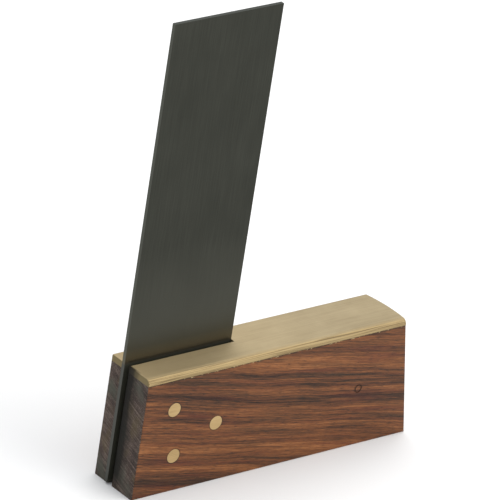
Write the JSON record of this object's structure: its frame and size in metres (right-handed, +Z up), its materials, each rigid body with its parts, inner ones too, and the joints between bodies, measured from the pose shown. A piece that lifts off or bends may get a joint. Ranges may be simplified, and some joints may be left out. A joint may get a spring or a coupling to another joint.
{
  "type": "try square",
  "caption": "Carpenter's try square: hardwood stock with a slanted end, forked brass face plate, riveted parallel steel blade.",
  "frame": {"origin": "centre of the footprint, on the surface that the stock's base stands on", "axes": "+Z up along the blade, +X along the stock from the blade's end to the slanted end, +Y through the stock's thickness towards the side that the blade is set to"},
  "size_m": [0.11, 0.0188, 0.156],
  "materials": {
    "rosewood": "satin, planed, open grained",
    "face_brass": "satin, brushed lengthwise",
    "blade_steel": "blued, brushed lengthwise",
    "rivet_brass": "filed flush, satin"
  },
  "bodies": {
    "root": {"stock": "rosewood", "face_plate": "face_brass", "blade": "blade_steel", "blade_rivets": "rivet_brass", "face_pins": "face_brass"}
  },
  "joints": []
}
